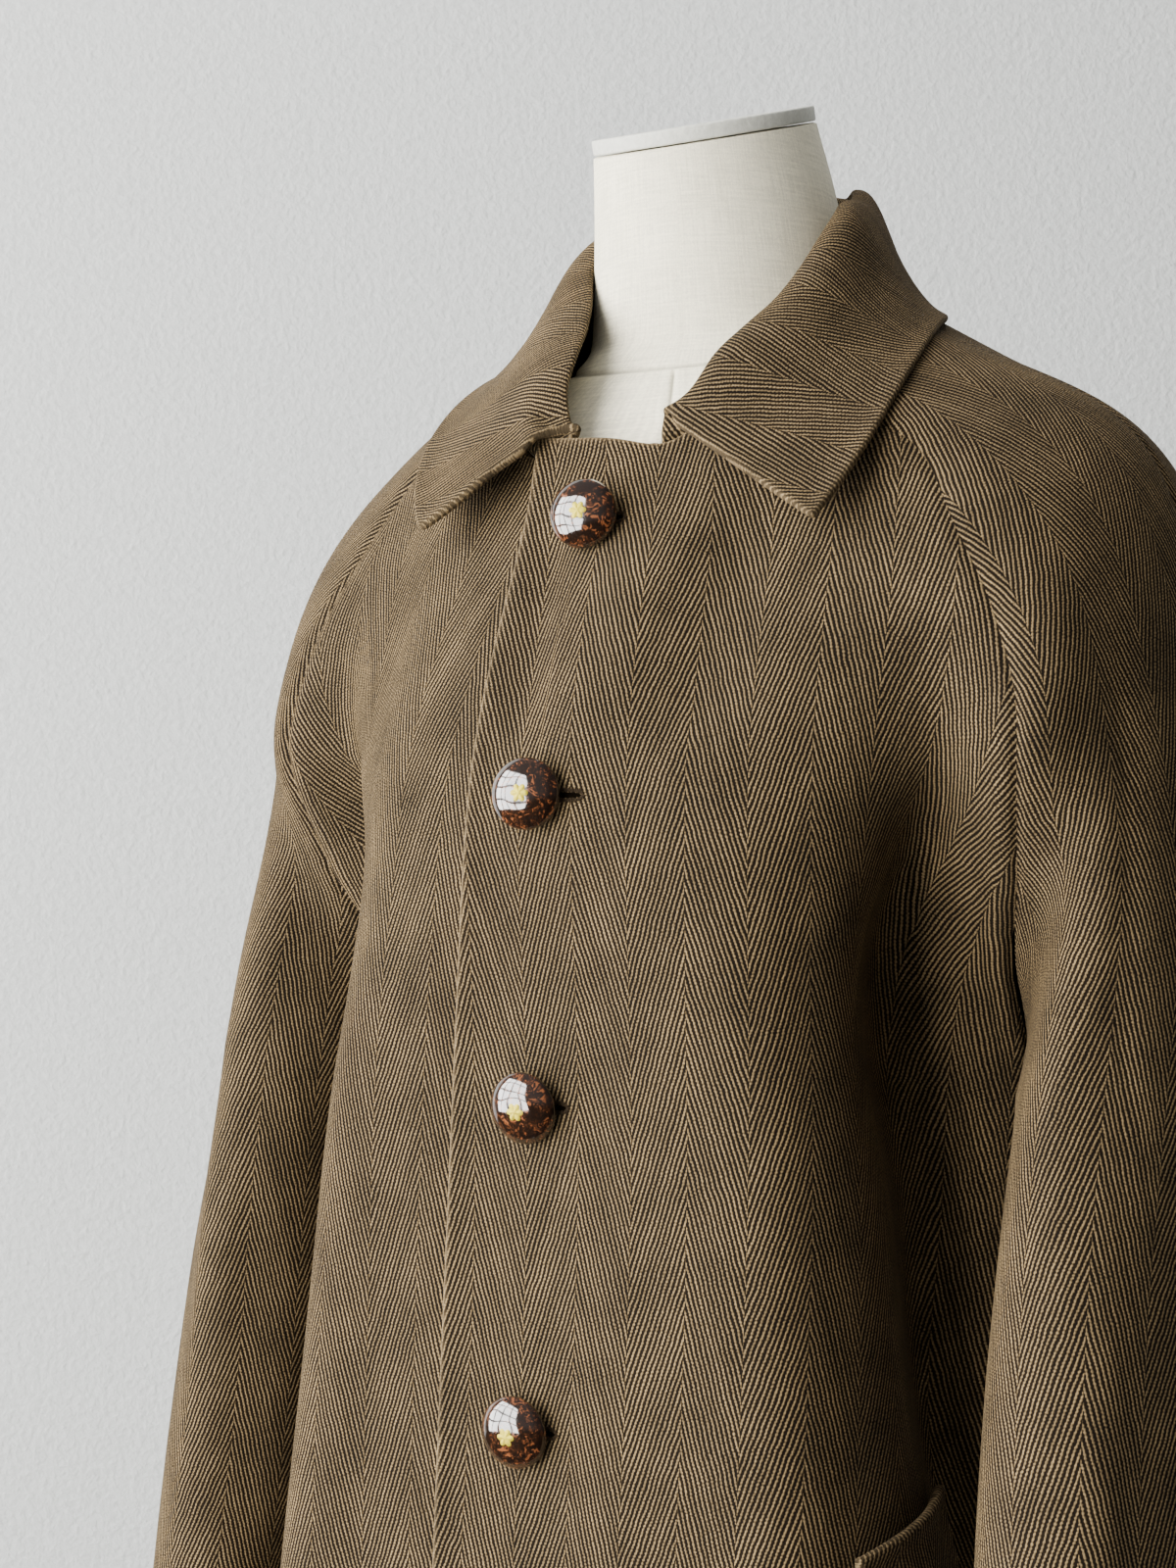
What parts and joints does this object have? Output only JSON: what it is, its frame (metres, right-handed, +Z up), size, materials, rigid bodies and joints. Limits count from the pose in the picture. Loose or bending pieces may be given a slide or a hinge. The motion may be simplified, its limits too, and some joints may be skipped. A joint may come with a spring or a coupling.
{
  "type": "single-breasted raglan coat on a dress form",
  "caption": "Buttoned single-breasted raglan overcoat in herringbone tweed with a fall collar and welt pockets, on a limbless linen dress form with a pole and round base.",
  "frame": {"origin": "on the floor, at the centre of the underside of the stand's round base", "axes": "+Z up along the pole; +X to the wearer's left; -Y is the front of the coat, where it buttons"},
  "size_m": [0.5854, 0.4, 1.5284],
  "materials": {
    "coat_tweed": "olive-brown herringbone wool tweed, matt with a light nap",
    "button_horn": "polished dark marbled horn",
    "form_linen": "natural cream linen, plain weave",
    "cap_paint": "cream paint, satin",
    "stand_metal": "grey satin paint"
  },
  "bodies": {
    "root": {"front_left": "coat_tweed", "front_right": "coat_tweed", "back": "coat_tweed", "sleeve_left_front": "coat_tweed", "sleeve_left_back": "coat_tweed", "sleeve_right_front": "coat_tweed", "sleeve_right_back": "coat_tweed", "collar": "coat_tweed", "pocket_welt_left": "coat_tweed", "pocket_welt_right": "coat_tweed", "button_1": "button_horn", "button_2": "button_horn", "button_3": "button_horn", "button_4": "button_horn", "button_5": "button_horn", "form_torso": "form_linen", "form_neck_cap": "cap_paint", "stand_pole": "stand_metal", "stand_base": "stand_metal"}
  },
  "joints": []
}
